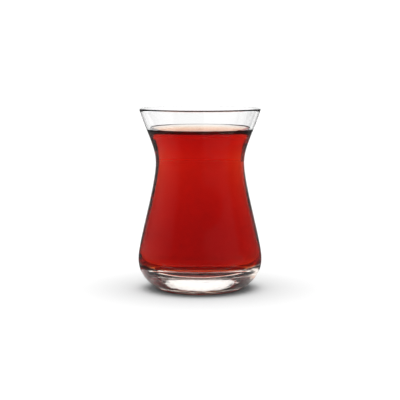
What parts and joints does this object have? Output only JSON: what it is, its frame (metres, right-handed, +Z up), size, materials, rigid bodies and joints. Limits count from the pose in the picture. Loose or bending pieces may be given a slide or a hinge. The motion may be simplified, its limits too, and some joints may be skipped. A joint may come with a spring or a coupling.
{
  "type": "turkish tea glass",
  "caption": "Clear waisted tea glass with a flared mouth, round belly and thick base, filled with dark red tea to a little below the lip.",
  "frame": {"origin": "centre of the foot ring, on the table", "axes": "+Z up along the axis of the glass; +X and +Y are alike, because the part is a body of revolution"},
  "size_m": [0.0602, 0.0602, 0.088],
  "materials": {
    "clear_glass": "clear, smooth, fire-polished lip",
    "tea": "clear dark red liquid"
  },
  "bodies": {
    "root": {"glass": "clear_glass", "tea": "tea"}
  },
  "joints": []
}
